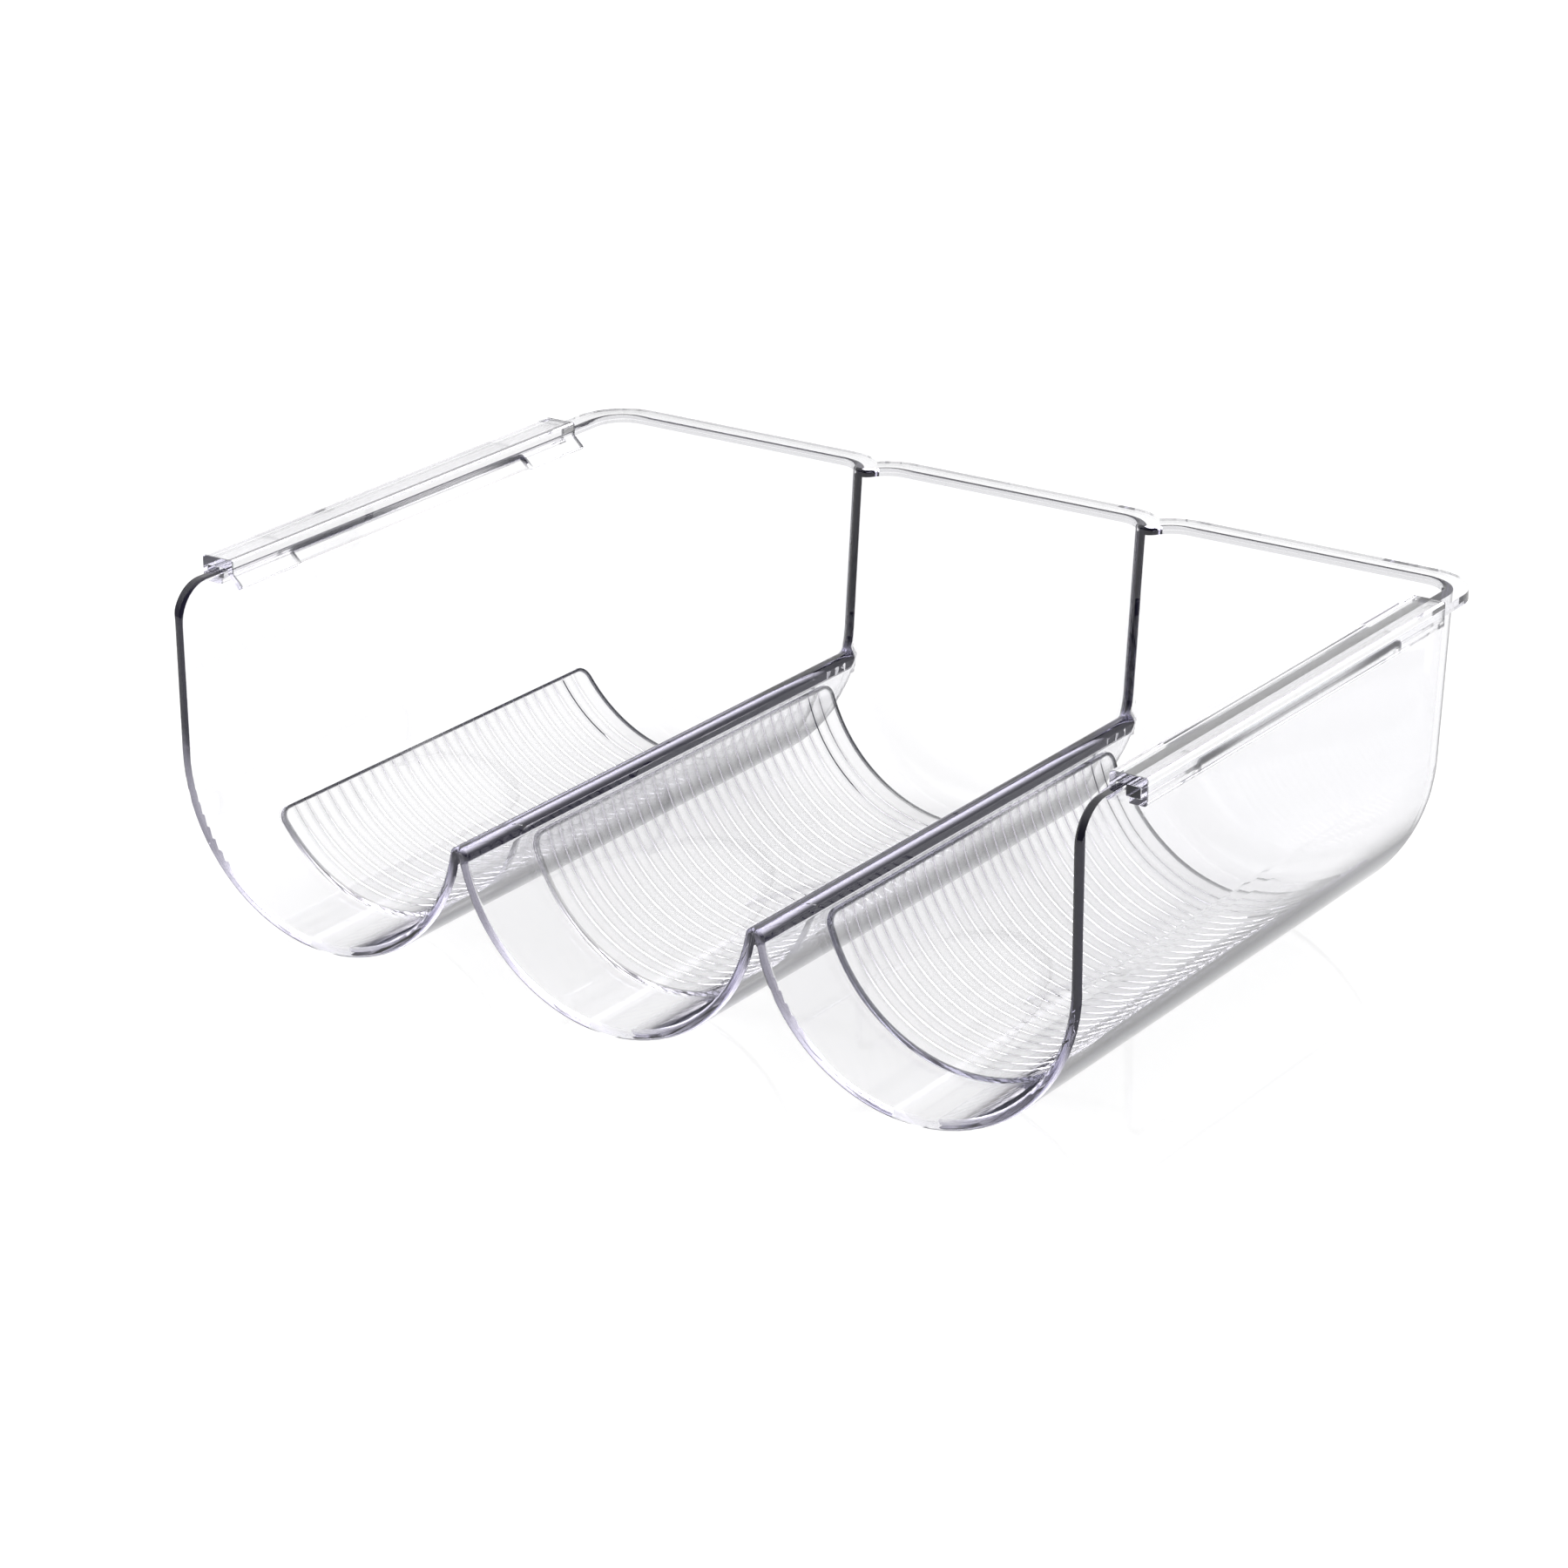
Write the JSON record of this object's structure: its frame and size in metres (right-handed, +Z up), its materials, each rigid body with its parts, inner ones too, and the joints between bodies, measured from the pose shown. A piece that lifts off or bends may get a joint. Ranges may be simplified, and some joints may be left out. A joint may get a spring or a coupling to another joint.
{
  "type": "water bottle organizer",
  "caption": "Open-fronted clear tray with side-by-side round-bottomed bays for lying bottles, ribbed lift-out bay liners and clip-on side rails.",
  "frame": {"origin": "on the floor under the middle bay, half way between the front edge and the back of the rim", "axes": "+X to the right as seen from the open front, +Y to the closed back, +Z up"},
  "size_m": [0.308, 0.2082, 0.101],
  "materials": {
    "clear_tray": "clear, polished",
    "clear_rail": "clear, polished",
    "clear_liner": "clear, finely ribbed"
  },
  "bodies": {
    "tray": {"bin_body": "clear_tray", "side_rail_left": "clear_rail", "side_rail_right": "clear_rail"},
    "liner_left": {"trough_liner_left": "clear_liner"},
    "liner_middle": {"trough_liner_middle": "clear_liner"},
    "liner_right": {"trough_liner_right": "clear_liner"}
  },
  "joints": [
    {"name": "liner_left_lift", "type": "slide", "parent": "tray", "child": "liner_left", "axis": [0, 0, 1], "range_m": [0, 0.12]},
    {"name": "liner_middle_lift", "type": "slide", "parent": "tray", "child": "liner_middle", "axis": [0, 0, 1], "range_m": [0, 0.12]},
    {"name": "liner_right_lift", "type": "slide", "parent": "tray", "child": "liner_right", "axis": [0, 0, 1], "range_m": [0, 0.12]}
  ]
}
